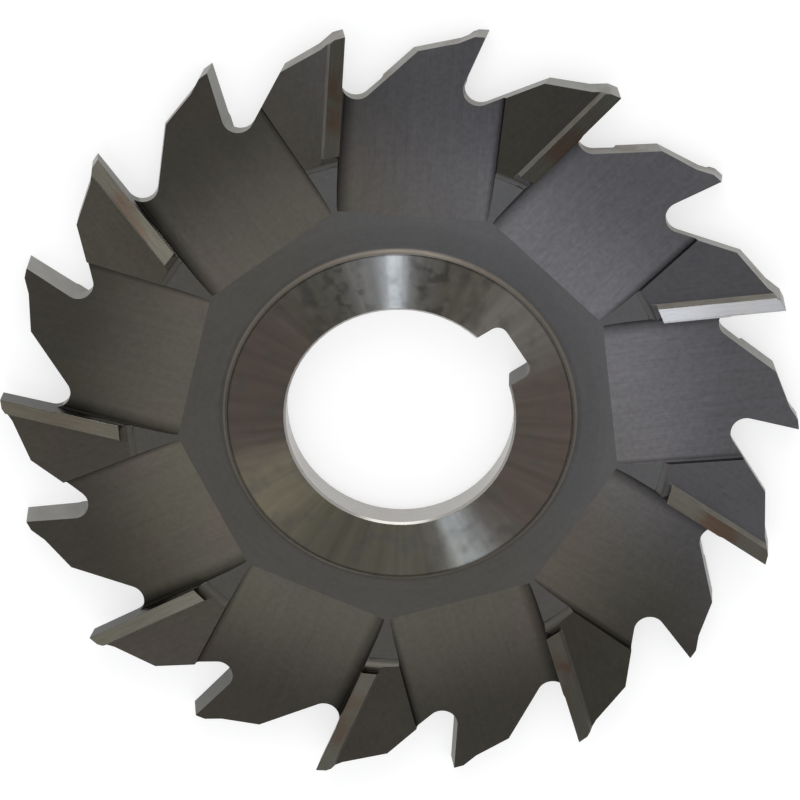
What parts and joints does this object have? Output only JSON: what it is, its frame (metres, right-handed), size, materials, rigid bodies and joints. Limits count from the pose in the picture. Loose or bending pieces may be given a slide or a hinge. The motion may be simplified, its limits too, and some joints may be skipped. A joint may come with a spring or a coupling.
{
  "type": "side and face cutter",
  "caption": "Thin disc milling cutter with staggered teeth on its rim, ground side lands on alternate faces, and a keyed arbor bore in a raised hub ring.",
  "frame": {"origin": "on the arbor axis, level with the lower side cutting edges that the cutter lies on", "axes": "+Z along the arbor axis, +X from the axis through the middle of the keyway"},
  "size_m": [0.0886, 0.0886, 0.0056],
  "materials": {
    "tool_steel": "dark tempered body with fine grinding lines, bright ground lands, tooth faces and bore"
  },
  "bodies": {
    "root": {"cutter": "tool_steel"}
  },
  "joints": []
}
